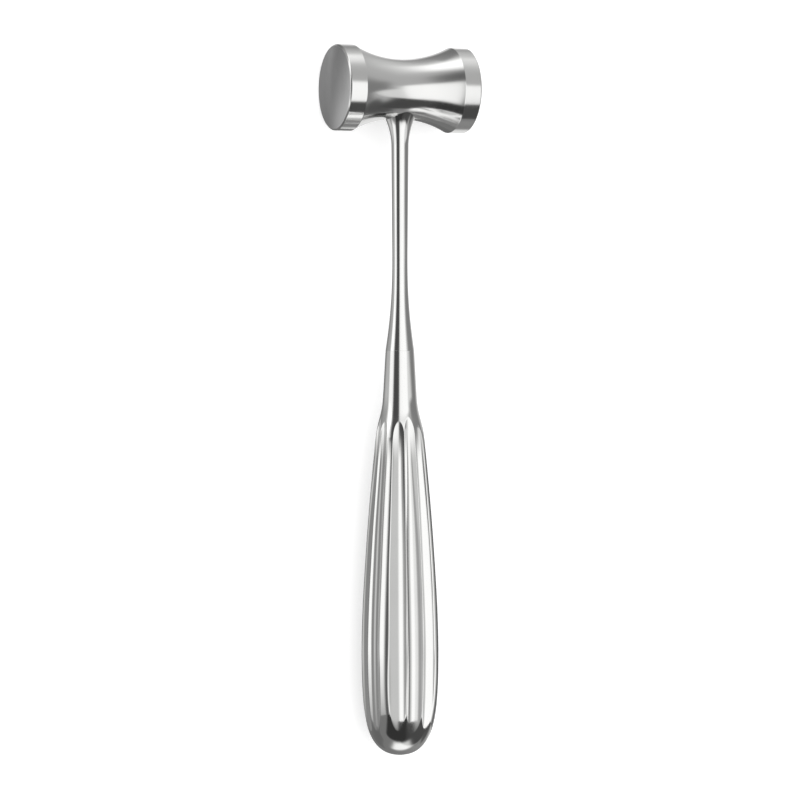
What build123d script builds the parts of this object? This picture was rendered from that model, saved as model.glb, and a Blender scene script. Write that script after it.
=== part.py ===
from build123d import *

import os
from math import asin, atan2, cos, degrees, radians, sin, sqrt

os.makedirs("parts", exist_ok=True)

# A surgical mallet, lying on its side as it rests on a table, in millimetres.
# The head's axis runs along X, the handle points along -Y, and the table is the plane Z = 0.
# Distances along the handle are measured from its butt, and radii from its centre line.

# Head
head_length = 45.0
head_radius = 13.5
band_width = 5.7
waist_radius = 9.4
face_chamfer = 0.45
socket_depth = 14.4

# Shaft
shaft_length = 73.3
slim_radius = 2.48
slim_from_mouth = 32.0
flare_start_radius = 2.75
flare_height = 8.6
flare_radius = 21.0
flare_sink = 3.6
collar_angle = 8.0
collar_arm = 10.0
slim_arm = 15.0
spigot_radius = 3.0
spigot_end_gap = 0.4
tang_length = 18.0
tip_chamfer = 0.6
braze_gap = 0.05

# Handle
handle_length = 128.8
belly_radius = 12.44
belly_from_butt = 30.0
shoulder_radius = 8.02
shoulder_from_mouth = 29.0
shoulder_angle = 5.6
neck_radius = 5.36
neck_from_mouth = 14.3
mouth_radius = 4.57
wall = 0.9

# How far each curve of the handle's outline holds the direction that it starts or ends in
butt_arm = 9.9
belly_arm = 19.9
taper_start_arm = 23.0
taper_end_arm = 20.0
ogee_arm = 7.0

# Flutes: three wide ones in front and three behind, three narrow ones on each side
front_pitch = 26.5
side_pitch = 21.8
belly_flute_depth = 0.9
shoulder_flute_depth = 0.62
middle_extra_depth = 0.2
ridge_overlap = 0.12
butt_rise_radius = 190.0
butt_clear = 2.0
neck_clear = 12.0


def step(point, angle, distance):
    """The point this far from another one, along a direction in degrees from the centre line."""
    return (point[0] + distance * cos(radians(angle)), point[1] + distance * sin(radians(angle)))


def flute_cut(radius, depth, pitch):
    """The floor's distance from the centre line and the cutter's radius, for a flute this deep
    where the handle has this radius. The cutter's arc is as wide as the pitch and a little
    more, so that neighbouring flutes meet in a sharp ridge."""
    half_width = radius * sin(radians(pitch / 2)) + ridge_overlap / 2
    hollow = depth - (radius - sqrt(radius**2 - half_width**2))
    return radius - depth, (half_width**2 + hollow**2) / (2 * hollow)


# The mallet rests on the bands of its head and on the two ridges beside the flute under its
# belly. The belly is thinner than the head, so the handle dips a little towards the table.
reach = handle_length + shaft_length + waist_radius
belly_floor, belly_cut = flute_cut(belly_radius, belly_flute_depth, front_pitch)
cutter_out = belly_floor + belly_cut
ridge_angle = radians(front_pitch / 2)
ridge_radius = cutter_out * cos(ridge_angle) - sqrt(belly_cut**2 - (cutter_out * sin(ridge_angle)) ** 2)
rest_tilt = asin((head_radius - ridge_radius * cos(ridge_angle)) / (reach - belly_from_butt))
towards_head = Vector(0, cos(rest_tilt), sin(rest_tilt))
upwards = Vector(0, -sin(rest_tilt), cos(rest_tilt))
head_centre = Vector(0, (reach * cos(rest_tilt) - head_radius) / 2, head_radius)
butt_point = head_centre - towards_head * reach
centre_line = Axis(origin=butt_point, direction=towards_head)
side_plane = Plane(origin=butt_point, x_dir=towards_head, z_dir=(1, 0, 0))
parting_plane = Plane(origin=butt_point, x_dir=towards_head, z_dir=upwards)


def cross_plane(distance, angle=0):
    """The plane across the handle at this distance from the butt. Its X points away from the
    centre line at this angle, in degrees from the front of the handle, which lies upwards."""
    outwards = upwards * cos(radians(angle)) + Vector(1, 0, 0) * sin(radians(angle))
    return Plane(origin=butt_point + towards_head * distance, x_dir=outwards, z_dir=-towards_head)


# Head: bands with chamfered rims, flat faces, and a waist that is one hollow arc
with BuildPart() as head:
    with BuildSketch(Plane.XY.move(Location(head_centre))):
        half_length = head_length / 2
        half_waist = half_length - band_width
        with BuildLine():
            ThreePointArc((-half_waist, head_radius), (0, waist_radius), (half_waist, head_radius))
            Polyline((half_waist, head_radius), (half_length, head_radius), (half_length, 0),
                     (-half_length, 0), (-half_length, head_radius), (-half_waist, head_radius))
        make_face()
    revolve(axis=Axis(origin=head_centre, direction=(1, 0, 0)))
    rims = head.edges().filter_by(GeomType.CIRCLE).group_by(Axis.X)
    chamfer(rims[0] + rims[-1], length=face_chamfer)
    with BuildSketch(cross_plane(reach - waist_radius + socket_depth)):
        Circle(spigot_radius + braze_gap)
    extrude(amount=socket_depth + head_radius, mode=Mode.SUBTRACT)
head.part.label = "head"
export_step(head.part, "parts/head.step")


# Shaft: turned in one piece from the tang to the spigot, its flare trimmed by the head
with BuildPart() as shaft:
    flare_start = (reach - waist_radius - flare_height, flare_start_radius)
    slim_point = (handle_length + slim_from_mouth, slim_radius)
    rise = degrees(atan2(flare_start[1] - slim_point[1], flare_start[0] - slim_point[0]))
    flare_sweep = degrees(asin((flare_height + flare_sink) / flare_radius + sin(radians(rise)))) - rise
    tang_radius = mouth_radius - wall - braze_gap
    tang_end = handle_length - tang_length
    spigot_end = reach - waist_radius + socket_depth - spigot_end_gap
    collar = (handle_length, mouth_radius)
    with BuildSketch(side_plane):
        with BuildLine():
            Polyline((tang_end, 0), (tang_end, tang_radius - tip_chamfer),
                     (tang_end + tip_chamfer, tang_radius), (handle_length, tang_radius), collar)
            Bezier(collar, step(collar, -collar_angle, collar_arm),
                   step(slim_point, 180 + rise, slim_arm), slim_point)
            Line(slim_point, flare_start)
            flare = JernArc(start=flare_start, tangent=step((0, 0), rise, 1), radius=flare_radius,
                            arc_size=flare_sweep)
            top = flare @ 1
            Polyline(top, (top.X, spigot_radius), (spigot_end - tip_chamfer, spigot_radius),
                     (spigot_end, spigot_radius - tip_chamfer), (spigot_end, 0), (tang_end, 0))
        make_face()
    revolve(axis=centre_line)
    add(head.part, mode=Mode.SUBTRACT)
shaft.part.label = "shaft"
export_step(shaft.part, "parts/shaft.step")


def taper_points(inset):
    """The four points of the curve from the belly to the shoulder, moved in by the inset."""
    belly = (belly_from_butt, belly_radius - inset)
    shoulder = (handle_length - shoulder_from_mouth, shoulder_radius - inset)
    return (belly, step(belly, 0, taper_start_arm),
            step(shoulder, 180 - shoulder_angle, taper_end_arm), shoulder)


def handle_body(inset, overrun):
    """The handle without its flutes, turned about the centre line. It is smaller all round by
    the inset, and is drawn on past the handle's mouth by the overrun."""
    belly, taper_start, taper_end, shoulder = taper_points(inset)
    neck = (handle_length - neck_from_mouth, neck_radius - inset)
    neck_angle = degrees(atan2(neck_radius - mouth_radius, neck_from_mouth))
    mouth = step(neck, -neck_angle, (neck_from_mouth + overrun) / cos(radians(neck_angle)))
    with BuildPart() as body:
        with BuildSketch(side_plane):
            with BuildLine():
                Bezier((inset, 0), (inset, butt_arm - inset), step(belly, 180, belly_arm - inset), belly)
                Bezier(belly, taper_start, taper_end, shoulder)
                Bezier(shoulder, step(shoulder, -shoulder_angle, ogee_arm),
                       step(neck, 180 - neck_angle, ogee_arm), neck)
                Polyline(neck, mouth, (mouth[0], 0), (inset, 0))
            make_face()
        revolve(axis=centre_line)
    return body.part


def flute_cutter(angle, pitch, extra_depth, growth):
    """A long round cutter for the flute at this angle round the handle. It runs out of the
    handle at both ends, further on where it is extra deep there. The growth thickens it, for
    the inside of the same flute."""
    belly, taper_start, taper_end, shoulder = taper_points(0)
    middle = tuple((belly[i] + 3 * taper_start[i] + 3 * taper_end[i] + shoulder[i]) / 8 for i in (0, 1))
    middle_depth = (belly_flute_depth + shoulder_flute_depth) / 2
    belly_floor, belly_cut = flute_cut(belly[1], belly_flute_depth, pitch)
    middle_floor, middle_cut = flute_cut(middle[1], middle_depth, pitch)
    shoulder_floor, shoulder_cut = flute_cut(shoulder[1], shoulder_flute_depth + extra_depth, pitch)
    run_out = step((shoulder[0], shoulder_floor), -shoulder_angle, neck_clear)
    drop_at_half = (belly[0] / 2) ** 2 / (2 * butt_rise_radius) + extra_depth / 2
    drop_at_butt = (belly[0] - butt_clear) ** 2 / (2 * butt_rise_radius) + extra_depth
    stations = [
        (butt_clear, belly_floor - drop_at_butt, belly_cut),
        (belly[0] / 2, belly_floor - drop_at_half, belly_cut),
        (belly[0], belly_floor, belly_cut),
        (middle[0], middle_floor, middle_cut),
        (shoulder[0], shoulder_floor, shoulder_cut),
        (run_out[0], run_out[1], shoulder_cut),
    ]
    with BuildPart() as cutter:
        for distance, floor, cut_radius in stations:
            with BuildSketch(cross_plane(distance, angle)):
                with Locations((floor + cut_radius, 0)):
                    Circle(cut_radius + growth)
        loft()
    return cutter.part


def flute_cutters(growth):
    """The cutters of all twelve flutes: four groups of three, the middle one of each deeper."""
    cutters = []
    for group, pitch in ((0, front_pitch), (90, side_pitch), (180, front_pitch), (270, side_pitch)):
        for place in (-1, 0, 1):
            extra_depth = middle_extra_depth if place == 0 else 0
            cutters.append(flute_cutter(group + place * pitch, pitch, extra_depth, growth))
    return cutters


# Handle: a fluted shell of even thickness, open only at its mouth
with BuildPart() as hollow:
    add(handle_body(wall, wall))
    add(flute_cutters(wall), mode=Mode.SUBTRACT)

with BuildPart() as handle:
    add(handle_body(0, 0))
    add(flute_cutters(0), mode=Mode.SUBTRACT)
    add(hollow.part, mode=Mode.SUBTRACT)

# The two pressed half shells meet along the handle's sides
with BuildPart() as handle_front_shell:
    add(handle.part)
    split(bisect_by=parting_plane, keep=Keep.TOP)
handle_front_shell.part.label = "handle_front_shell"
export_step(handle_front_shell.part, "parts/handle_front_shell.step")

with BuildPart() as handle_back_shell:
    add(handle.part)
    split(bisect_by=parting_plane, keep=Keep.BOTTOM)
handle_back_shell.part.label = "handle_back_shell"
export_step(handle_back_shell.part, "parts/handle_back_shell.step")
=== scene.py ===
# %% [markdown]
# A surgical mallet: a waisted steel barrel on a slim rod, with a fluted hollow handle.
# It is polished steel all over, so it has almost no colour of its own. Its look comes from
# its exact curves, from how finely each surface is finished, and from what it reflects.
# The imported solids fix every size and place. They are made of flat facets, which a mirror
# finish would show, so each one is replaced by a smooth surface of the same form.

import bpy
import numpy as np
from mathutils import Matrix, Vector


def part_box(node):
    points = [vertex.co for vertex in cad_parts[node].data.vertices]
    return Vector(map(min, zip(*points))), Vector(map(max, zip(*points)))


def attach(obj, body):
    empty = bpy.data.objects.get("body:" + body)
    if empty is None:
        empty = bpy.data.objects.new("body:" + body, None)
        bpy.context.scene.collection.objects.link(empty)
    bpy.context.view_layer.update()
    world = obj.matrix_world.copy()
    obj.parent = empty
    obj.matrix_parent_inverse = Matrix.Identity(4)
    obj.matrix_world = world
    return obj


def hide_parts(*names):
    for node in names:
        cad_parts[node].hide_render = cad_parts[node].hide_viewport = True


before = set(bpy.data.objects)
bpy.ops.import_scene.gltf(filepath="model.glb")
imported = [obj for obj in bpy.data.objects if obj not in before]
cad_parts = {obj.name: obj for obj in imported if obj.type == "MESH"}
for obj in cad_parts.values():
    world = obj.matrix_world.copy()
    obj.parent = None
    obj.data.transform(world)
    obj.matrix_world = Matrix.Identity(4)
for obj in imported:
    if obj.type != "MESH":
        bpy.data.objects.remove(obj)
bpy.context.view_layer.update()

print("solids:", ", ".join(sorted(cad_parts)))

# %% [markdown]
# The sizes are the ones that the solids were drawn from, in millimetres. Distances run along
# the handle's centre line from its butt, and radii are measured from that line.

# %% Sizes of the mallet
MM = 0.001

head_length = 45.0
head_radius = 13.5
band_width = 5.7
waist_radius = 9.4
face_chamfer = 0.45

shaft_length = 73.3
slim_radius = 2.48
slim_from_mouth = 32.0
flare_start_radius = 2.75
flare_height = 8.6
flare_radius = 21.0
flare_sink = 3.6
collar_angle = 8.0
collar_arm = 10.0
slim_arm = 15.0

handle_length = 128.8
belly_radius = 12.44
belly_from_butt = 30.0
shoulder_radius = 8.02
shoulder_from_mouth = 29.0
shoulder_angle = 5.6
neck_radius = 5.36
neck_from_mouth = 14.3
mouth_radius = 4.57
butt_arm = 9.9
belly_arm = 19.9
taper_start_arm = 23.0
taper_end_arm = 20.0
ogee_arm = 7.0

front_pitch = 26.5
side_pitch = 21.8
belly_flute_depth = 0.9
shoulder_flute_depth = 0.62
middle_extra_depth = 0.2
ridge_overlap = 0.12
butt_rise_radius = 190.0
butt_clear = 2.0
neck_clear = 12.0

reach = handle_length + shaft_length + waist_radius
print("from the butt to the head's axis:", reach, "mm")

# %% [markdown]
# A flute is a long hollow cut by a round cutter that runs along the handle. Its floor and its
# cutter's radius are known at six places, and a smooth curve joins them in between.

# %% Flute sections
def step(point, angle, distance):
    """The point this far from another one, along a direction in degrees from the centre line."""
    turn = np.radians(angle)
    return np.array([point[0] + distance * np.cos(turn), point[1] + distance * np.sin(turn)])


def flute_cut(radius, depth, pitch):
    """The floor's distance from the centre line and the cutter's radius: a circle whose chord
    is as wide as the pitch and a little more, and whose arc is as deep as the flute."""
    half_width = radius * np.sin(np.radians(pitch / 2)) + ridge_overlap / 2
    hollow = depth - (radius - np.sqrt(radius**2 - half_width**2))
    return radius - depth, (half_width**2 + hollow**2) / (2 * hollow)


def smooth_through(places, values, at):
    """A cubic curve through the values. Its slope at each one is the slope of the parabola
    through that value and its neighbours."""
    slopes = np.gradient(values, places)
    start = np.clip(np.searchsorted(places, at) - 1, 0, len(places) - 2)
    span = places[start + 1] - places[start]
    t = (at - places[start]) / span
    return (
        values[start] * (1 + 2 * t) * (1 - t) ** 2
        + slopes[start] * span * t * (1 - t) ** 2
        + values[start + 1] * t**2 * (3 - 2 * t)
        + slopes[start + 1] * span * t**2 * (t - 1)
    )


belly_floor, belly_cut = flute_cut(belly_radius, belly_flute_depth, front_pitch)
print("under the belly the flute's floor is at", round(belly_floor, 2), "and its cutter's radius is",
      round(belly_cut, 2))

# %% [markdown]
# The mallet lies on its side on a table. Its head is thicker than its belly, so the handle
# dips by half a degree. One point and three directions say where the centre line lies and
# which way is which.

# %% Where the mallet lies
cutter_out = belly_floor + belly_cut
ridge_turn = np.radians(front_pitch / 2)
ridge_beside = cutter_out * np.sin(ridge_turn)
ridge_radius = cutter_out * np.cos(ridge_turn) - np.sqrt(belly_cut**2 - ridge_beside**2)
rest_tilt = np.arcsin((head_radius - ridge_radius * np.cos(ridge_turn)) / (reach - belly_from_butt))

low, high = (np.array(corner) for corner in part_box("head"))
head_centre = (low + high) / 2 / MM
sideways = np.array([1.0, 0.0, 0.0])
towards_head = np.array([0.0, np.cos(rest_tilt), np.sin(rest_tilt)])
upwards = np.array([0.0, -np.sin(rest_tilt), np.cos(rest_tilt)])
butt_point = head_centre - reach * towards_head
print("the butt is at", butt_point.round(2), "and the head's middle at", head_centre.round(2), "mm")

# %% [markdown]
# Every piece is a stack of rings, closed by a tip at each end. One function turns such a
# stack into a mesh. It also works out the volume inside: a negative one would mean that the
# surface is inside out.

# %% From rings to a mesh
def squares_between(ring_count, columns):
    """The numbers of the points on each ring, those of their neighbours in the next column,
    and the four corners of each square between two rings. The last column joins the first."""
    here = np.arange(ring_count * columns).reshape(ring_count, columns)
    beside = np.roll(here, -1, axis=1)
    squares = np.stack([here[:-1], here[1:], beside[1:], beside[:-1]], axis=-1).reshape(-1, 4)
    return here, beside, squares


def volume_inside(points, triangles):
    """The volume between triangles and the origin: a sixth of the sum of each one's first
    corner times the cross product of its other two."""
    first, second, third = (points[triangles[:, corner]] for corner in range(3))
    return np.einsum("ij,ij->", first, np.cross(second, third)) / 6


def closed_tube(name, first_tip, rings, last_tip):
    """A closed mesh from rings of points, as an array of rings, columns and coordinates in
    millimetres. Each square between two rings is one face, and each tip has a fan."""
    ring_count, columns = rings.shape[:2]
    points = np.vstack([rings.reshape(-1, 3), first_tip, last_tip]) * MM
    here, beside, squares = squares_between(ring_count, columns)
    tip = np.full(columns, ring_count * columns)
    first_fan = np.stack([tip, here[0], beside[0]], axis=-1)
    last_fan = np.stack([tip + 1, beside[-1], here[-1]], axis=-1)
    corners = np.concatenate([squares.ravel(), first_fan.ravel(), last_fan.ravel()])
    counts = np.concatenate([np.full(len(squares), 4), np.full(2 * columns, 3)])

    mesh = bpy.data.meshes.new(name)
    mesh.vertices.add(len(points))
    mesh.vertices.foreach_set("co", points.ravel())
    mesh.loops.add(len(corners))
    mesh.loops.foreach_set("vertex_index", corners.astype(np.int32))
    mesh.polygons.add(len(counts))
    mesh.polygons.foreach_set("loop_start", (np.cumsum(counts) - counts).astype(np.int32))
    mesh.polygons.foreach_set("use_smooth", np.ones(len(counts), dtype=bool))
    mesh.update(calc_edges=True)
    piece = bpy.data.objects.new(name, mesh)
    bpy.context.scene.collection.objects.link(piece)

    triangles = np.vstack([squares[:, [0, 1, 2]], squares[:, [0, 2, 3]], first_fan, last_fan])
    inside = volume_inside(points, triangles) / MM**3
    print(f"{name}: {len(triangles)} triangles, {inside:.0f} cubic millimetres inside")
    return piece


# %% [markdown]
# Outlines are drawn as the maker's drawing has them: lines, arcs and smooth curves. Where two
# of them meet at a corner, the real edge was broken by polishing, so it gets a tiny radius.

# %% Pieces of an outline
def bezier(corners, count):
    """A cubic curve from the first point to the last one, which leaves and arrives in the
    direction of the two points between."""
    t = np.linspace(0, 1, count)[:, None]
    a, b, c, d = (np.array(corner, dtype=float) for corner in corners)
    return a * (1 - t) ** 3 + 3 * b * t * (1 - t) ** 2 + 3 * c * t**2 * (1 - t) + d * t**3


def line(start, end, count):
    """Evenly spaced points on a straight line."""
    t = np.linspace(0, 1, count)[:, None]
    return np.array(start, dtype=float) * (1 - t) + np.array(end, dtype=float) * t


def arc(centre, radius, start_angle, end_angle, count):
    """Points on a circle between two angles in degrees."""
    turn = np.radians(np.linspace(start_angle, end_angle, count))
    return np.stack([centre[0] + radius * np.cos(turn), centre[1] + radius * np.sin(turn)], axis=-1)


def soft_corner(before, corner, after, size, count=7):
    """A small parabola in place of a corner, with a close pair of points at each end, so that
    the smooth shading of the corner doesn't spread over its neighbours."""
    before, corner, after = (np.array(p, dtype=float) for p in (before, corner, after))
    start = corner + (before - corner) / np.linalg.norm(before - corner) * size
    end = corner + (after - corner) / np.linalg.norm(after - corner) * size
    t = np.linspace(0, 1, count)[:, None]
    curve = start * (1 - t) ** 2 + 2 * corner * t * (1 - t) + end * t**2
    far_start = start + (start - corner) / 2
    far_end = end + (end - corner) / 2
    return np.vstack([far_start, curve, far_end])


print("outlines: line, arc, bezier and soft_corner")

# %% [markdown]
# The head is turned from bar on a lathe: two bands, flat striking faces with a small chamfer,
# and a waist that is one hollow arc. So it is an outline turned about the head's own axis.
# The waist's arc stops a little short of the band, by an angle, and the face a little short of
# its chamfer, to leave room for the soft corners.

# %% The head's surface
edge_radius = 0.12
waist_margin = 0.6
face_margin = 0.3
face_middle = 0.4
half_head = head_length / 2
half_waist = half_head - band_width
waist_depth = head_radius - waist_radius
waist_arc_radius = (half_waist**2 + waist_depth**2) / (2 * waist_depth)
waist_arc_centre = waist_radius + waist_arc_radius
waist_half_turn = np.degrees(np.arcsin(half_waist / waist_arc_radius))


def waist_height(x):
    """The waist's radius at a distance from its middle, along the head's axis."""
    return waist_arc_centre - np.sqrt(waist_arc_radius**2 - x**2)


rim = (half_head - face_chamfer, head_radius)
face_edge = (half_head, head_radius - face_chamfer)
band_edge = (half_waist, head_radius)
waist = arc((0, waist_arc_centre), waist_arc_radius, 270, 270 + waist_half_turn - waist_margin, 40)
face = line((half_head, head_radius - face_chamfer - face_margin), (half_head, face_middle), 24)
right_half = np.vstack([
    waist,
    soft_corner(waist[-1], band_edge, rim, edge_radius),
    soft_corner(band_edge, rim, face_edge, edge_radius),
    soft_corner(rim, face_edge, (half_head, 0), edge_radius),
    face,
])
left_half = right_half[:0:-1] * [-1, 1]
head_outline = np.vstack([left_half, right_half])

head_turn = np.linspace(0, 2 * np.pi, 256, endpoint=False)[:, None]
outwards = np.cos(head_turn) * upwards + np.sin(head_turn) * towards_head
head_rings = head_centre + head_outline[:, :1, None] * sideways + head_outline[:, 1:, None] * outwards
head = closed_tube("mallet_head", head_centre - half_head * sideways, head_rings,
                   head_centre + half_head * sideways)

# %% [markdown]
# The shaft is one turned rod. It leaves the handle in a cone, runs slim and almost straight,
# and opens in a trumpet flare that sits on the round waist like a saddle. So its last rings
# aren't flat: each column ends where it meets the waist, which a bisection finds for all
# columns at once.

# %% The shaft's surface
flare_start = np.array([reach - waist_radius - flare_height, flare_start_radius])
slim_point = np.array([handle_length + slim_from_mouth, slim_radius])
collar = np.array([handle_length, mouth_radius])
rise = np.degrees(np.arctan2(flare_start[1] - slim_point[1], flare_start[0] - slim_point[0]))
flare_centre = step(flare_start, rise + 90, flare_radius)


def flare_outline(distance):
    """The flare's radius: an arc that leaves the slim rod without a corner."""
    return flare_centre[1] - np.sqrt(flare_radius**2 - (distance - flare_centre[0]) ** 2)


def above_waist(distance, turn):
    """How far a point of the flare still is from the waist: its distance from the head's
    axis, less the waist's radius there."""
    radius = flare_outline(distance)
    return np.hypot(reach - distance, radius * np.cos(turn)) - waist_height(radius * np.sin(turn))


shaft_columns = 160
shaft_turn = np.linspace(0, 2 * np.pi, shaft_columns, endpoint=False)
near = np.full(shaft_columns, flare_start[0])
far = np.full(shaft_columns, reach - waist_radius + flare_sink)
for halving in range(40):
    middle = (near + far) / 2
    outside = above_waist(middle, shaft_turn) > 0
    near = np.where(outside, middle, near)
    far = np.where(outside, far, middle)
seat = near
print("the flare meets the waist between", seat.min().round(2), "and", seat.max().round(2), "mm")

# %% [markdown]
# The plain part of the rod is turned about the centre line. The flare's rings are spread
# between its start and its seat, column by column. One more ring just inside the head and a
# tip deeper in it close the rod without a gap. At the handle's mouth, both the rod and the
# handle end in a shallow hollow, so that their ends don't lie in one plane.

# %% The shaft as rings
joint_radius = 0.03
end_hollow = 0.2
seat_depth = 0.3
tip_depth = 2.0

rod_curve = bezier((collar, step(collar, -collar_angle, collar_arm),
                    step(slim_point, 180 + rise, slim_arm), slim_point), 60)
rod = np.vstack([
    soft_corner((handle_length, 0), collar, rod_curve[1], joint_radius),
    rod_curve[1:],
    line(slim_point, flare_start, 20)[1:],
])
rod_distance = np.repeat(rod[:, :1], shaft_columns, axis=1)
rod_radius = np.repeat(rod[:, 1:], shaft_columns, axis=1)
share = np.linspace(0, 1, 40)[1:, None]
flare_distance = np.vstack([flare_start[0] + (seat - flare_start[0]) * share, seat + seat_depth])
distance = np.vstack([rod_distance, flare_distance])[:, :, None]
radius = np.vstack([rod_radius, flare_outline(flare_distance)])[:, :, None]
outwards = np.cos(shaft_turn)[:, None] * upwards + np.sin(shaft_turn)[:, None] * sideways
shaft_rings = butt_point + distance * towards_head + radius * outwards
shaft = closed_tube("mallet_shaft", butt_point + (handle_length + end_hollow) * towards_head,
                    shaft_rings[:, ::-1], butt_point + (reach - waist_radius + tip_depth) * towards_head)

# %% [markdown]
# The handle is the part that takes care. Without its flutes it is a turned pear shape. Each
# flute is a hollow of its own width, and the surface is whichever lies nearer the centre
# line, the turned body or the flute. Where two of them meet, a soft minimum rounds the ridge
# as polishing does. The columns of points crowd towards the ridges. Between two groups of
# flutes lies a plain land, which gets columns of its own.

# %% The handle's outline and columns
joint_margin = 0.2
flute_columns = 20
land_columns = 9
narrowest_land = 1.0

belly = np.array([belly_from_butt, belly_radius])
shoulder = np.array([handle_length - shoulder_from_mouth, shoulder_radius])
neck = np.array([handle_length - neck_from_mouth, neck_radius])
neck_angle = np.degrees(np.arctan2(neck_radius - mouth_radius, neck_from_mouth))
taper_start = step(belly, 0, taper_start_arm)
taper_end = step(shoulder, 180 - shoulder_angle, taper_end_arm)
handle_outline = np.vstack([
    bezier(((0, 0), (0, butt_arm), step(belly, 180, belly_arm), belly), 110)[1:],
    bezier((belly, taper_start, taper_end, shoulder), 96)[1:],
    bezier((shoulder, step(shoulder, -shoulder_angle, ogee_arm),
            step(neck, 180 - neck_angle, ogee_arm), neck), 56)[1:],
    line(neck, (handle_length - joint_margin,
                mouth_radius + joint_margin * np.tan(np.radians(neck_angle))), 16)[1:],
    soft_corner(neck, (handle_length, mouth_radius), (handle_length, 0), joint_radius),
])

flutes = [
    (group + place * pitch, pitch, middle_extra_depth if place == 0 else 0)
    for group, pitch in ((0, front_pitch), (90, side_pitch), (180, front_pitch), (270, side_pitch))
    for place in (-1, 0, 1)
]
even = np.linspace(0, 1, flute_columns, endpoint=False)
crowded = (even + (1 - np.cos(np.pi * even)) / 2) / 2
handle_columns = []
for index, (angle, pitch, extra_depth) in enumerate(flutes):
    handle_columns.append(angle - pitch / 2 + pitch * crowded)
    next_angle, next_pitch, _ = flutes[(index + 1) % len(flutes)]
    land_start = angle + pitch / 2
    land = (next_angle - next_pitch / 2 - land_start + 180) % 360 - 180
    if land > narrowest_land:
        handle_columns.append(land_start + land * np.linspace(0, 1, land_columns, endpoint=False))
handle_columns = np.concatenate(handle_columns)
print(len(handle_outline), "rings of", len(handle_columns), "points")

# %% [markdown]
# A flute's section is a circle outside the handle. Seen from the centre line at a small turn
# from the flute's middle, the near side of that circle lies at the circle's distance times
# the cosine of the turn, less a square root. Where the cutter doesn't reach, and on the far
# side of the handle, the flute counts as very far out.

# %% The handle's fluted surface
ridge_softness = 0.05
no_flute = 1000.0
side_limit = 1.0


def soft_minimum(a, b):
    """The smaller of two values, rounded where they cross: half their sum, less half the
    root of their difference squared plus the softness squared."""
    return (a + b - np.sqrt((a - b) ** 2 + ridge_softness**2)) / 2


def flute_surface(distance, turn, pitch, extra_depth):
    """The flute's distance from the centre line, at a turn in degrees from its middle."""
    middle = (belly + 3 * taper_start + 3 * taper_end + shoulder) / 8
    middle_depth = (belly_flute_depth + shoulder_flute_depth) / 2
    floor_belly, cut_belly = flute_cut(belly[1], belly_flute_depth, pitch)
    floor_middle, cut_middle = flute_cut(middle[1], middle_depth, pitch)
    floor_shoulder, cut_shoulder = flute_cut(shoulder[1], shoulder_flute_depth + extra_depth, pitch)
    run_out = step((shoulder[0], floor_shoulder), -shoulder_angle, neck_clear)
    half_drop = (belly[0] / 2) ** 2 / (2 * butt_rise_radius) + extra_depth / 2
    butt_drop = (belly[0] - butt_clear) ** 2 / (2 * butt_rise_radius) + extra_depth
    places = np.array([butt_clear, belly[0] / 2, belly[0], middle[0], shoulder[0], run_out[0]])
    floors = np.array([floor_belly - butt_drop, floor_belly - half_drop, floor_belly, floor_middle,
                       floor_shoulder, run_out[1]])
    cuts = np.array([cut_belly, cut_belly, cut_belly, cut_middle, cut_shoulder, cut_shoulder])
    within = np.clip(distance, places[0], places[-1])
    cut = smooth_through(places, cuts, within)
    centre = smooth_through(places, floors, within) + cut
    turn = np.radians((turn + 180) % 360 - 180)
    under_root = cut**2 - (centre * np.sin(turn)) ** 2
    beside = (under_root > 0) & (np.abs(turn) < side_limit)
    along = (distance >= places[0]) & (distance <= places[-1])
    surface = centre * np.cos(turn) - np.sqrt(np.maximum(under_root, 0))
    return np.where(beside & along, surface, no_flute)


def handle_surface(distance, turn, body_radius):
    """The handle's radius: the soft minimum of its turned body and its twelve flutes."""
    radius = body_radius
    for angle, pitch, extra_depth in flutes:
        radius = soft_minimum(radius, flute_surface(distance, turn - angle, pitch, extra_depth))
    return radius


distance = np.repeat(handle_outline[:, :1], len(handle_columns), axis=1)
body_radius = np.repeat(handle_outline[:, 1:], len(handle_columns), axis=1)
radius = handle_surface(distance, handle_columns[None, :], body_radius)
handle_turn = np.radians(handle_columns)[:, None]
outwards = np.cos(handle_turn) * upwards + np.sin(handle_turn) * sideways
handle_rings = butt_point + distance[:, :, None] * towards_head + radius[:, :, None] * outwards
handle = closed_tube("mallet_handle", butt_point, handle_rings[:, ::-1],
                     butt_point + (handle_length - end_hollow) * towards_head)

# %% [markdown]
# The new surface must be the solid's own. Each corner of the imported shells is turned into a
# distance, a turn and a radius, and compared with the formula. The corners of the inner wall
# and those close to the handle's two ends are left out.

# %% How far the new handle lies from the solid
outer_wall = 0.4
butt_end = 3.0
mouth_end = 0.5
for node in ("handle_front_shell", "handle_back_shell"):
    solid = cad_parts[node].data
    corners = np.empty(len(solid.vertices) * 3)
    solid.vertices.foreach_get("co", corners)
    offset = corners.reshape(-1, 3) / MM - butt_point
    distance = offset @ towards_head
    across, above = offset @ sideways, offset @ upwards
    body_radius = np.interp(distance, handle_outline[:, 0], handle_outline[:, 1])
    expected = handle_surface(distance, np.degrees(np.arctan2(across, above)), body_radius)
    gap = np.hypot(across, above) - expected
    outer = (np.abs(gap) < outer_wall) & (distance > butt_end) & (distance < handle_length - mouth_end)
    print(node, "corners", outer.sum(), "mean", gap[outer].mean().round(3), "widest",
          np.abs(gap[outer]).max().round(3), "mm")

# %% [markdown]
# A material, or the sky, is a small network of nodes. Arithmetic on node outputs is written as
# plain Python expressions: a wire knows how to add, subtract and multiply by adding a Math
# node, and one method adds any other node.

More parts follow.
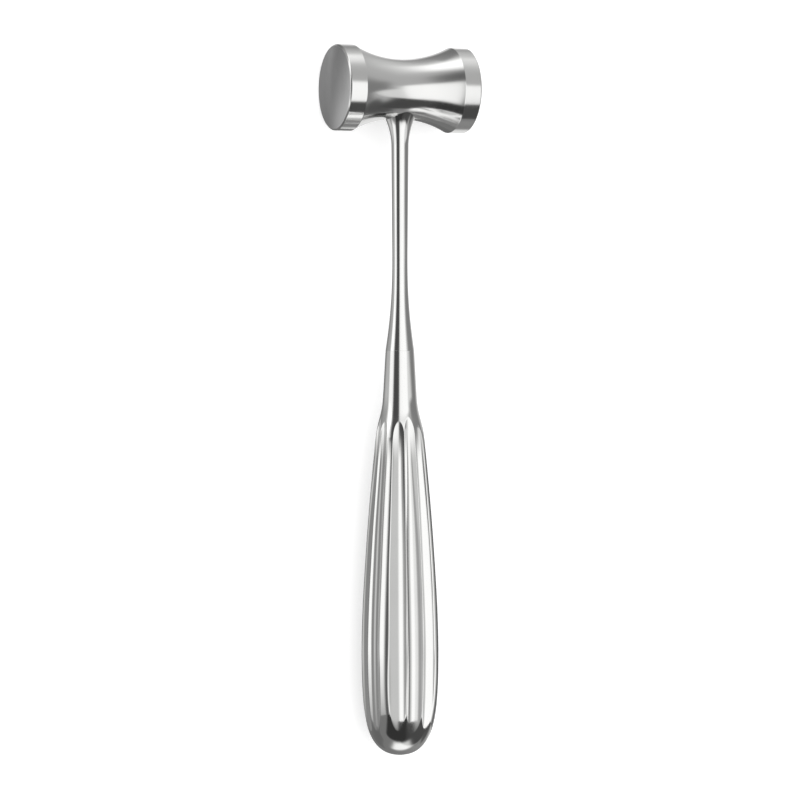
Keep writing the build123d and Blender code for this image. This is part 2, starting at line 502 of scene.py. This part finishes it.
# %% Wires, networks and finishes
class Wire:
    """One output of a node. Arithmetic on it adds Math nodes to the same network."""

    def __init__(self, network, socket):
        self.network = network
        self.socket = socket

    def maths(self, operation, first, second):
        return self.network.add("ShaderNodeMath", {"operation": operation}, {0: first, 1: second})

    def __add__(self, other):
        return self.maths("ADD", self, other)

    def __sub__(self, other):
        return self.maths("SUBTRACT", self, other)

    def __rsub__(self, other):
        return self.maths("SUBTRACT", other, self)

    def __mul__(self, other):
        return self.maths("MULTIPLY", self, other)

    __radd__ = __add__
    __rmul__ = __mul__


class Network:
    """The nodes of a material or of the sky, with the shader that they all lead to."""

    def __init__(self, owner, shader):
        owner.use_nodes = True
        self.tree = owner.node_tree
        self.shader = self.tree.nodes[shader]

    def join(self, socket, value):
        """Links a wire to a socket, or sets the socket to a plain value."""
        if isinstance(value, Wire):
            self.tree.links.new(value.socket, socket)
        else:
            socket.default_value = value

    def add(self, kind, settings=None, inputs=None, output=0):
        """Adds a node of any kind: first its settings, then its inputs. Gives an output."""
        node = self.tree.nodes.new(kind)
        for setting, value in (settings or {}).items():
            setattr(node, setting, value)
        for key, value in (inputs or {}).items():
            self.join(node.inputs[key], value)
        return Wire(self, node.outputs[output])

    def vector(self, operation, inputs, output="Vector"):
        """Adds a Vector Math node."""
        return self.add("ShaderNodeVectorMath", {"operation": operation}, inputs, output)

    def mix(self, share, first, second):
        """A colour between two colours. A colour Mix node's own sockets are its last ones."""
        return self.add("ShaderNodeMix", {"data_type": "RGBA"}, {0: share, 6: first, 7: second}, output=2)

    def feed(self, socket, value):
        """Joins a wire, or a plain value, to one of the shader's own sockets."""
        self.join(self.shader.inputs[socket], value)


class Finish(Network):
    """A material as it is being wired. Its shader's constant values are set on the shader."""

    def __init__(self, name, constants):
        self.material = bpy.data.materials.new(name)
        super().__init__(self.material, "Principled BSDF")
        for socket, value in constants.items():
            self.feed(socket, value)


print("nodes: Wire, Network and Finish")

# %% [markdown]
# Polished steel isn't a perfect mirror. The buffing wheel leaves hairlines along its path,
# faint clouds where the polish is finer or coarser, and a slight waviness in the surface.
# The hairlines are a noise pattern squeezed hard across the wheel's path.

# %% Polished steel
cloud_scale = (90, 90, 90)
wave_scale = (55, 55, 55)


def squeezed_noise(finish, scale, detail=2.0):
    """A noise pattern on the object's own coordinates, with its own scale on each axis."""
    place = finish.add("ShaderNodeTexCoord", output="Object")
    squeezed = finish.add("ShaderNodeMapping", {"vector_type": "POINT"}, {"Vector": place, "Scale": scale})
    return finish.add("ShaderNodeTexNoise", inputs={"Vector": squeezed, "Scale": 1.0, "Detail": detail},
                      output="Fac")


def polished_steel(name, hairline_scale, grey, polish, hairlines, waviness):
    """Bright steel whose hairlines follow the squeezed axis of their scale."""
    finish = Finish(name, {"Metallic": 1.0})
    clouds = squeezed_noise(finish, cloud_scale)
    lines = squeezed_noise(finish, hairline_scale, detail=3.0)
    waves = squeezed_noise(finish, wave_scale, detail=1.0)
    finish.feed("Roughness", polish + 0.05 * clouds + hairlines * lines)
    light = (grey, grey, grey * 0.985, 1)
    dull = (grey * 0.93, grey * 0.93, grey * 0.92, 1)
    finish.feed("Base Color", finish.mix(clouds, dull, light))
    bumped = finish.add("ShaderNodeBump", inputs={"Strength": waviness, "Distance": MM, "Height": waves})
    finish.feed("Normal", bumped)
    return finish.material


handle_steel = polished_steel("polished_handle_steel", (2600, 45, 2600),
                              grey=0.78, polish=0.03, hairlines=0.05, waviness=0.02)
shaft_steel = polished_steel("polished_shaft_steel", (60, 3200, 60),
                             grey=0.78, polish=0.04, hairlines=0.06, waviness=0.01)
barrel_steel = polished_steel("turned_barrel_steel", (3600, 60, 60),
                              grey=0.74, polish=0.07, hairlines=0.08, waviness=0.015)
for piece, steel in ((handle, handle_steel), (shaft, shaft_steel), (head, barrel_steel)):
    piece.data.materials.append(steel)
print("steels:", handle_steel.name, shaft_steel.name, barrel_steel.name)

# %% [markdown]
# A striking face was faced on a lathe: it has fine rings about its middle. Each ring tips the
# surface a little towards or away from the middle, so the face shines in a fan that turns
# with the light. The rings are finer than a pixel, so they are put into the normal itself.
# The face is flat, but its shading is also tipped outwards, more and more towards the rim, far
# more than a real face is. It then shows a wide part of the studio and isn't one even grey,
# as if a light stood close to it.

# %% Satin striking faces
rings_per_metre = 9000
fine_cloud_scale = (160, 160, 160)


def satin_face_steel(name, grey, polish, ring_tilt, rim_tilt):
    """Steel with rings about the head's axis. The normal is tipped along the radius by a
    noise that depends on the radius alone, and by the rim's tilt times the share of the way
    from the middle to the rim."""
    finish = Finish(name, {"Metallic": 1.0})
    place = finish.add("ShaderNodeTexCoord", output="Object")
    from_axis = finish.vector("SUBTRACT", {0: place, 1: tuple(head_centre * MM)})
    flat = finish.vector("MULTIPLY", {0: from_axis, 1: (0, 1, 1)})
    radius = finish.vector("LENGTH", {0: flat}, output="Value")
    radial = finish.vector("NORMALIZE", {0: flat})
    rings = finish.add("ShaderNodeTexNoise", {"noise_dimensions": "1D"},
                       {"W": radius * rings_per_metre, "Scale": 1.0, "Detail": 1.0}, output="Fac")
    tilt = (rings - 0.5) * ring_tilt + radius * (rim_tilt / (head_radius * MM))
    tipped = finish.vector("SCALE", {0: radial, "Scale": tilt})
    normal = finish.add("ShaderNodeNewGeometry", output="Normal")
    leaning = finish.vector("ADD", {0: normal, 1: tipped})
    finish.feed("Normal", finish.vector("NORMALIZE", {0: leaning}))
    clouds = squeezed_noise(finish, fine_cloud_scale)
    finish.feed("Roughness", polish + 0.08 * clouds)
    dark = (grey * 0.92, grey * 0.92, grey * 0.92, 1)
    light = (grey, grey, grey, 1)
    finish.feed("Base Color", finish.mix(clouds, dark, light))
    return finish.material


face_steel = satin_face_steel("satin_face_steel", grey=0.66, polish=0.28, ring_tilt=0.3, rim_tilt=0.4)
head.data.materials.append(face_steel)
flat_within = 0.02
middles = np.empty(len(head.data.polygons) * 3)
head.data.polygons.foreach_get("center", middles)
on_face = np.abs(middles.reshape(-1, 3)[:, 0]) > (half_head - flat_within) * MM
head.data.polygons.foreach_set("material_index", on_face.astype(np.int32))
print("satin squares and fans:", on_face.sum())

# %% [markdown]
# Each new piece now takes the place of its solids, which are hidden, and hangs from the root body.

# %% New pieces in place of the solids
for piece, nodes, finish_slot in (
    (head, ("head",), "turned_steel"),
    (shaft, ("shaft",), "polished_steel"),
    (handle, ("handle_front_shell", "handle_back_shell"), "polished_steel"),
):
    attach(piece, "root")
    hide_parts(*nodes)
    print(piece.name, "stands for", " and ".join(nodes))

# %% [markdown]
# The camera looks down at the mallet, turned by 24 degrees about the handle so that the left
# striking face shows. It is a long lens about a metre away, aimed at the handle's neck.

# %% Camera
look_turn = 23.8
look_distance = 963.0
look_rise = 2.1
aim_from_butt = 113.1
frame_width = 254.0
sensor_width = 36.0

turned = np.radians(look_turn)
raised = np.radians(look_rise)
to_front = -np.sin(turned) * sideways + np.cos(turned) * upwards
to_camera = to_front * np.cos(raised) + np.sin(raised) * towards_head
to_right = np.cos(turned) * sideways + np.sin(turned) * upwards
image_up = np.cross(to_camera, to_right)
aim = butt_point + aim_from_butt * towards_head
stand = aim + look_distance * to_camera

camera_data = bpy.data.cameras.new("camera")
camera_data.sensor_width = sensor_width
camera_data.lens = sensor_width * look_distance / frame_width
camera_data.clip_end = 20.0
camera = bpy.data.objects.new("camera", camera_data)
camera.matrix_world = Matrix([
    [to_right[0], image_up[0], to_camera[0], stand[0] * MM],
    [to_right[1], image_up[1], to_camera[1], stand[1] * MM],
    [to_right[2], image_up[2], to_camera[2], stand[2] * MM],
    [0, 0, 0, 1],
])
bpy.context.scene.collection.objects.link(camera)
bpy.context.scene.camera = camera
print("camera at", (stand * MM).round(3), "m with a", round(camera_data.lens, 1), "mm lens")

# %% [markdown]
# The table is a plain pale sheet. A little glow that only the camera sees takes it to white,
# and it still keeps the mallet's soft shadow.

# %% Table
table_size = 6.0
half_table = table_size / 2
table_mesh = bpy.data.meshes.new("table")
table_mesh.from_pydata([(-half_table, -half_table, 0), (half_table, -half_table, 0),
                        (half_table, half_table, 0), (-half_table, half_table, 0)], [], [(0, 1, 2, 3)])
table = bpy.data.objects.new("table", table_mesh)
bpy.context.scene.collection.objects.link(table)
table_finish = Finish("white_table", {"Base Color": (0.92, 0.92, 0.92, 1), "Roughness": 0.9,
                                      "Specular IOR Level": 0.0, "Emission Strength": 0.45})
to_eye = table_finish.add("ShaderNodeLightPath", output="Is Camera Ray")
table_finish.feed("Emission Color", table_finish.mix(to_eye, (0, 0, 0, 1), (1, 1, 1, 1)))
table_mesh.materials.append(table_finish.material)
table.visible_glossy = False
print("table:", table_size, "m square")

# %% [markdown]
# Polished metal shows its surroundings, so the studio around it is part of its look. It
# stands in a tent of grey cloth, half a metre away all round, with white panels lit from
# behind and darker gaps between them. The tent is a sphere that only reflections see. A panel
# is placed by angles in degrees, all counted from the camera's direction. "Around" turns to
# the right about the handle, and "above" climbs from there along the handle. "Over" turns up
# over the head, and "lean" goes from there to the right.

# %% Tent
tent_radius = 500.0
blackest, whitest = 0.04, 2.0


def panel(angle, start, end, edge):
    """One inside a range of angles and zero outside it, with edges this soft."""
    rise = 1 / (1 + np.exp(-(angle - start) / (edge / 4)))
    fall = 1 / (1 + np.exp((angle - end) / (edge / 4)))
    return rise * fall


def tent_brightness(facing, right, up):
    """The cloth's brightness in a direction, given by its parts towards the camera, to the
    right and up along the handle. White panels add to the grey. Of the dark gaps, which
    overlap, only the darkest at each point takes from it."""
    around = np.degrees(np.arctan2(right, facing))
    above = np.degrees(np.arcsin(np.clip(up, -1, 1)))
    over = np.degrees(np.arctan2(up, facing))
    lean = np.degrees(np.arcsin(np.clip(right, -1, 1)))
    sunk = 0.3 * np.clip(lean - 15, 0, 60)
    risen = 2.0 * np.clip(lean - 55, 0, 40)
    level = panel(over, -33 - sunk, 29 + risen, 6) * panel(above, -60, 50, 6)
    right_box = panel(around, -4, 55, 8) * level
    right_cloth = panel(around, -4, 60 + 30 * panel(above, -40, 4, 6), 10) * level
    left_box = panel(around, -82, -49, 9) * panel(above, -24, 28, 6)
    back_box = panel(around, 150, 200, 12) * panel(above, -30, 26, 8)
    top_box = panel(over - 0.6 * lean, 62, 89, 11) * panel(lean, -60, 14, 24)
    top_cloth = panel(over, 70, 124, 20) * panel(lean, -5, 36, 20)
    top_back = panel(over, 136, 170, 12) * panel(lean, -30, 6, 12)
    low_box = panel(over, -100, -74, 6) * panel(lean, -14, 22, 8)
    under_left = panel(around, -135, -88, 24) * panel(above, -24, 5, 16)
    bright = (0.42 * right_box + 0.34 * right_cloth + 0.78 * left_box + 0.45 * back_box
              + 1.15 * top_box + 0.22 * top_cloth + 0.7 * top_back + 0.75 * low_box + 0.36 * under_left)
    dark_strip = panel(around, -46, -5, 7) * panel(above, -66, 30, 6)
    side_gap = panel(around, 95 - 25 * panel(above, 5, 60, 5), 130, 10) * panel(above, -66, 26, 10)
    side_low = panel(around, 90, 138, 10) * panel(above, -50, -11, 8)
    left_low = panel(around, -150, -84, 10) * panel(above, -60, -14, 8)
    top_gap = panel(over, 27, 54, 12) * panel(lean, -50, 22, 16)
    top_rim = panel(over, 104, 136, 10) * panel(lean, -60, 8, 12)
    low_gap = panel(over, -72 - np.clip(lean, 0, 60), -33 - sunk, 6) * panel(lean, -36, 66, 10)
    low_cloth = panel(above, -74, -28, 8)
    far_left = panel(around, -200, -125, 50) * panel(above, -40, 90, 20)
    gap = np.maximum.reduce([0.36 * dark_strip, 0.28 * side_gap, 0.44 * side_low, 0.28 * left_low,
                             0.30 * top_gap, 0.22 * top_rim, 0.46 * low_gap, 0.22 * low_cloth,
                             0.31 * far_left])
    cloth = 0.44 + 0.10 * panel(lean, 10, 200, 24)
    return np.clip(cloth + bright - gap, blackest, whitest)


slope = np.linspace(-90, 90, 181)[1:-1, None]
swing = np.linspace(-180, 180, 360, endpoint=False)[None, :]
facing = np.cos(np.radians(slope)) * np.cos(np.radians(swing))
right = np.cos(np.radians(slope)) * np.sin(np.radians(swing))
up = np.sin(np.radians(slope)) * np.ones_like(swing)
directions = facing[..., None] * to_camera + right[..., None] * to_right + up[..., None] * image_up
tent = closed_tube("tent", aim - tent_radius * image_up, aim + tent_radius * directions,
                   aim + tent_radius * image_up)
tent_glow = np.concatenate([tent_brightness(facing, right, up).ravel(),
                            [tent_brightness(0, 0, -1), tent_brightness(0, 0, 1)]])
print("tent brightness from", tent_glow.min().round(2), "to", tent_glow.max().round(2))

# %% [markdown]
# The tent, and the cards that follow, glow by themselves, each point as brightly as its own
# value says. They are stage props: only reflections see them, and they light nothing else.

# %% Glowing cloth
cloth_finish = Finish("studio_cloth", {"Base Color": (0, 0, 0, 1), "Roughness": 1.0,
                                       "Specular IOR Level": 0.0, "Emission Strength": 1.0})
cloth_finish.feed("Emission Color", cloth_finish.add("ShaderNodeAttribute", {"attribute_name": "glow"},
                                                     output="Color"))


def hang_in_studio(prop, brightness):
    """Gives a prop the glowing cloth and a brightness for each of its points."""
    glow = prop.data.attributes.new("glow", "FLOAT", "POINT")
    glow.data.foreach_set("value", brightness.astype(np.float32))
    prop.data.materials.append(cloth_finish.material)
    prop.visible_camera = False
    prop.visible_diffuse = False
    prop.visible_shadow = False


hang_in_studio(tent, tent_glow)
print("hung:", tent.name)

# %% [markdown]
# Round the handle stands a ring of narrow cards, from white to black, which draws the fine
# lines in its flutes: each flute is a hollow mirror and shows the whole row of them. The
# cards lean a little, those on the left dim towards the butt, and near the neck all of them
# give way to what the tent shows there. Each card spans two angles round the handle.

# %% Cards round the handle
white, light, pale, grey, shade, dark = 1.30, 1.0, 0.70, 0.42, 0.30, 0.10
cards = (
    (-180, -92, shade), (-88, -75, pale), (-72, -57, shade), (-56, -41, white), (-38, -29, dark),
    (-20, -6, white), (-6, 21, pale), (31, 41, light), (41, 54, white), (54, 61, pale), (61, 67, dark),
    (67, 106, white), (106, 120, pale), (127, 138, dark), (139, 180, shade),
)
ring_radius = 45.0
ring_start = -2.0
ring_end = 108.0
ring_fade = 12.0
card_lean = 0.05
upright_at = 40.0
card_edge = 4.0
dim_below = 30.0
dim_length = 40.0


def ring_brightness(around, along):
    """The ring's brightness at an angle round the handle and a distance from its butt."""
    leaning = around - card_lean * (along - upright_at)
    brightness = np.full(leaning.shape, grey)
    for start, end, card in cards:
        brightness = brightness + (card - grey) * panel(leaning, start, end, card_edge)
    low_left = panel(leaning, -100, -40, card_edge) * np.clip((dim_below - along) / dim_length, 0, 1)
    brightness = brightness + (shade - brightness) * low_left
    faded = np.clip((along - ring_end + ring_fade) / ring_fade, 0, 1)
    faded = faded**2 * (3 - 2 * faded)
    turn = np.radians(around)
    behind = tent_brightness(np.cos(turn), np.sin(turn), np.zeros_like(turn))
    return brightness * (1 - faded) + behind * faded


around = np.linspace(-180, 180, 720, endpoint=False)[None, :]
along = np.linspace(ring_start, ring_end, 60)[:, None]
card_turn = np.radians(around)[..., None]
ring_points = (butt_point + along[..., None] * towards_head
               + ring_radius * (np.cos(card_turn) * to_camera + np.sin(card_turn) * to_right))
squares = squares_between(along.size, around.size)[2]
ring_mesh = bpy.data.meshes.new("ring_of_cards")
ring_mesh.from_pydata((ring_points.reshape(-1, 3) * MM).tolist(), [], squares.tolist())
ring = bpy.data.objects.new("ring_of_cards", ring_mesh)
bpy.context.scene.collection.objects.link(ring)
ring_glow = ring_brightness(around, along)
hang_in_studio(ring, ring_glow.ravel())
print(len(cards), "cards, brightness from", ring_glow.min().round(2), "to", ring_glow.max().round(2))

# %% [markdown]
# The light itself is soft and plain: a wide lamp overhead and an even pale sky. Where the
# camera or a reflection sees the sky, it is white.

# %% Lamp and sky
sky_light = 0.80
lamp_data = bpy.data.lights.new("soft_lamp", "AREA")
lamp_data.shape = "DISK"
lamp_data.size = 1.4
lamp_data.energy = 3.6
lamp = bpy.data.objects.new("soft_lamp", lamp_data)
lamp.location = (0.1, 0.1, 1.3)
lamp.rotation_euler = (-Vector(lamp.location)).to_track_quat("-Z", "Y").to_euler()
lamp.visible_glossy = False
bpy.context.scene.collection.objects.link(lamp)

world = bpy.data.worlds.new("sky")
bpy.context.scene.world = world
sky = Network(world, "Background")
camera_ray, glossy_ray, through_ray = (
    sky.add("ShaderNodeLightPath", output=kind)
    for kind in ("Is Camera Ray", "Is Glossy Ray", "Is Transmission Ray")
)
seen = camera_ray.maths("MAXIMUM", camera_ray.maths("MAXIMUM", camera_ray, glossy_ray), through_ray)
sky.feed("Color", (1, 1, 1, 1))
sky.feed("Strength", sky_light + (1 - sky_light) * seen)
bpy.context.scene.view_settings.view_transform = "Standard"
print("one lamp of", lamp_data.energy, "W and a white sky")
